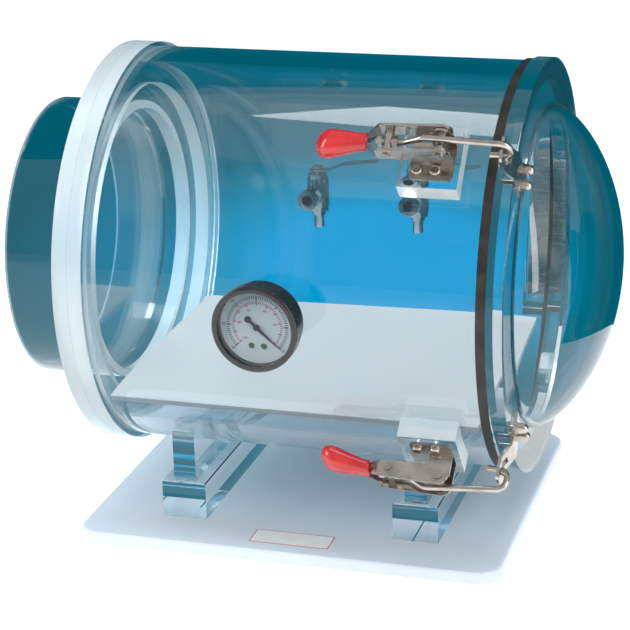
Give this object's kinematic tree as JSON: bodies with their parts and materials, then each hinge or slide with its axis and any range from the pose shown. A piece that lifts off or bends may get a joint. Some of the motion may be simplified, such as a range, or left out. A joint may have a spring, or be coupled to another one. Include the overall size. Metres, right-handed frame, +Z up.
{
  "type": "vacuum chamber",
  "caption": "Clear cylindrical vacuum chamber on a white base, with a domed hinged door, two over-centre latches, a dial gauge and valves with levers.",
  "frame": {"origin": "middle of the underside of the base plate", "axes": "+Z up, +X along the cylinder towards the domed door, -Y towards the gauge and latches"},
  "size_m": [0.4846, 0.402, 0.3859],
  "materials": {
    "clear_acrylic": "polished clear acrylic with bright cut edges",
    "white_board": "satin white plastic",
    "white_shelf": "satin white plastic",
    "gasket_rubber": "matte",
    "stainless": "satin stamped stainless",
    "chrome": "polished",
    "red_grip": "glossy dipped vinyl",
    "black_case": "glossy black",
    "gauge_glass": "clear",
    "dial_face": "matte pale grey print ground",
    "needle_black": "matte black",
    "brass": "machined"
  },
  "bodies": {
    "chamber": {"base_plate": "white_board", "bourdon_tube": "brass", "chamber_tube": "clear_acrylic", "collar_disc": "clear_acrylic", "end_collar": "clear_acrylic", "end_plate": "clear_acrylic", "gauge_bezel": "black_case", "gauge_case": "black_case", "gauge_dial": "dial_face", "gauge_dial_screws": "brass", "gauge_movement": "brass", "gauge_stem": "brass", "gauge_window": "gauge_glass", "hinge_block": "clear_acrylic", "hinge_block_screws": "stainless", "hinge_fixed_leaf": "stainless", "hinge_pin": "stainless", "latch_pivots": "stainless", "latch_screws": "stainless", "left_foot_bar": "clear_acrylic", "left_saddle": "clear_acrylic", "left_valve_body": "chrome", "lower_latch_base": "stainless", "lower_latch_block": "clear_acrylic", "right_foot_bar": "clear_acrylic", "right_saddle": "clear_acrylic", "right_valve_body": "chrome", "rim_gasket": "gasket_rubber", "shelf_tray": "white_shelf", "tube_end_ring": "clear_acrylic", "upper_latch_base": "stainless", "upper_latch_block": "clear_acrylic", "valve_bulkheads": "chrome", "valve_nozzles": "chrome"},
    "door": {"door_plate": "clear_acrylic", "door_dome": "clear_acrylic", "door_hinge_block": "clear_acrylic", "hinge_door_leaf": "stainless", "door_hinge_screws": "stainless", "keeper_bolts": "stainless", "keeper_nuts": "stainless", "upper_keeper": "stainless", "lower_keeper": "stainless"},
    "upper_handle": {"upper_handle_frame": "stainless", "upper_grip": "red_grip"},
    "lower_handle": {"lower_handle_frame": "stainless", "lower_grip": "red_grip"},
    "upper_hook": {"upper_hook": "stainless", "upper_hook_nuts": "stainless", "upper_trunnion": "stainless"},
    "lower_hook": {"lower_hook": "stainless", "lower_hook_nuts": "stainless", "lower_trunnion": "stainless"},
    "left_lever": {"left_valve_lever": "chrome", "left_valve_stem": "stainless", "left_valve_ball": "chrome"},
    "right_lever": {"right_valve_lever": "chrome", "right_valve_stem": "stainless", "right_valve_ball": "chrome"},
    "needle": {"gauge_needle": "needle_black"}
  },
  "joints": [
    {"name": "door_hinge", "type": "hinge", "parent": "chamber", "child": "door", "pos_m": [0.1675, 0.1785, 0.205], "axis": [0, 0, 1], "range_deg": [0, 120]},
    {"name": "upper_handle_pivot", "type": "hinge", "parent": "chamber", "child": "upper_handle", "pos_m": [0.1335, -0.147, 0.35418], "axis": [0, 0.682, 0.7314], "range_deg": [0, 90]},
    {"name": "upper_hook_pivot", "type": "hinge", "parent": "upper_handle", "child": "upper_hook", "pos_m": [0.0935, -0.14517, 0.35248], "axis": [0, 0.682, 0.7314], "range_deg": [-52, 0]},
    {"name": "lower_handle_pivot", "type": "hinge", "parent": "chamber", "child": "lower_handle", "pos_m": [0.1335, -0.15397, 0.0879], "axis": [0, -0.6428, 0.766], "range_deg": [0, 90]},
    {"name": "lower_hook_pivot", "type": "hinge", "parent": "lower_handle", "child": "lower_hook", "pos_m": [0.0935, -0.15206, 0.08951], "axis": [0, -0.6428, 0.766], "range_deg": [-52, 0]},
    {"name": "left_valve_turn", "type": "hinge", "parent": "chamber", "child": "left_lever", "pos_m": [-0.059, 0.186, 0.2171], "axis": [0, 0, 1], "range_deg": [0, 90]},
    {"name": "right_valve_turn", "type": "hinge", "parent": "chamber", "child": "right_lever", "pos_m": [0.035, 0.186, 0.2171], "axis": [0, 0, 1], "range_deg": [0, 90]},
    {"name": "needle_turn", "type": "hinge", "parent": "chamber", "child": "needle", "pos_m": [0.004, -0.196, 0.2185], "axis": [0, -1, 0], "range_deg": [0, 265], "stiffness_Nm_per_rad": 0.001}
  ],
  "couplings": [
    {"joint": "upper_hook_pivot", "follows": "upper_handle_pivot", "ratio": -0.56},
    {"joint": "lower_hook_pivot", "follows": "lower_handle_pivot", "ratio": -0.56}
  ]
}
